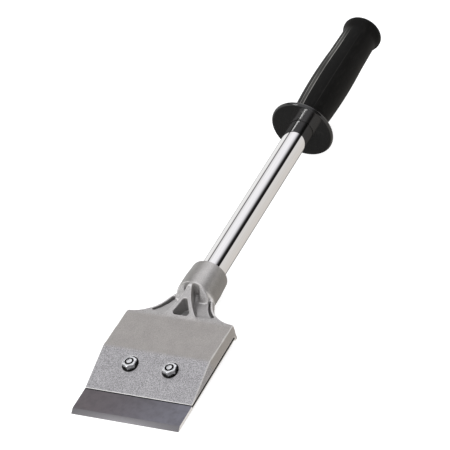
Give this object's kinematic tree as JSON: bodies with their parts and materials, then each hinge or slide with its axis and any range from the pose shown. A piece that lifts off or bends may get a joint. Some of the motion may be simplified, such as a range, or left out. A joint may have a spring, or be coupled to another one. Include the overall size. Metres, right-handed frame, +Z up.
{
  "type": "roofing shovel",
  "caption": "Short in-line roofing shovel: a reversible steel blade bolted under a cast wedge head, a plated tube handle and a moulded grip with a round guard.",
  "frame": {"origin": "middle of the blade's sole, midway between the two blade bolts", "axes": "+X along the cutting edge, +Y from the cutting edge to the grip, parallel to the handle, +Z up, square to the blade"},
  "size_m": [0.102, 0.5044, 0.0593],
  "materials": {
    "cast_aluminium": "sand-cast aluminium, tumbled, matte with a fine grain",
    "blade_steel": "hardened and blued spring steel with ground cutting edges",
    "zinc_steel": "bright zinc-plated steel",
    "chrome_tube": "polished chrome plate",
    "spring_steel": "plain spring steel",
    "grip_rubber": "glossy moulded black vinyl rubber"
  },
  "bodies": {
    "root": {"head_casting": "cast_aluminium", "blade": "blade_steel", "blade_bolt_left": "zinc_steel", "blade_bolt_right": "zinc_steel", "blade_nut_left": "zinc_steel", "blade_nut_right": "zinc_steel", "handle_tube": "chrome_tube", "tube_pin": "spring_steel", "hand_grip": "grip_rubber"}
  },
  "joints": []
}
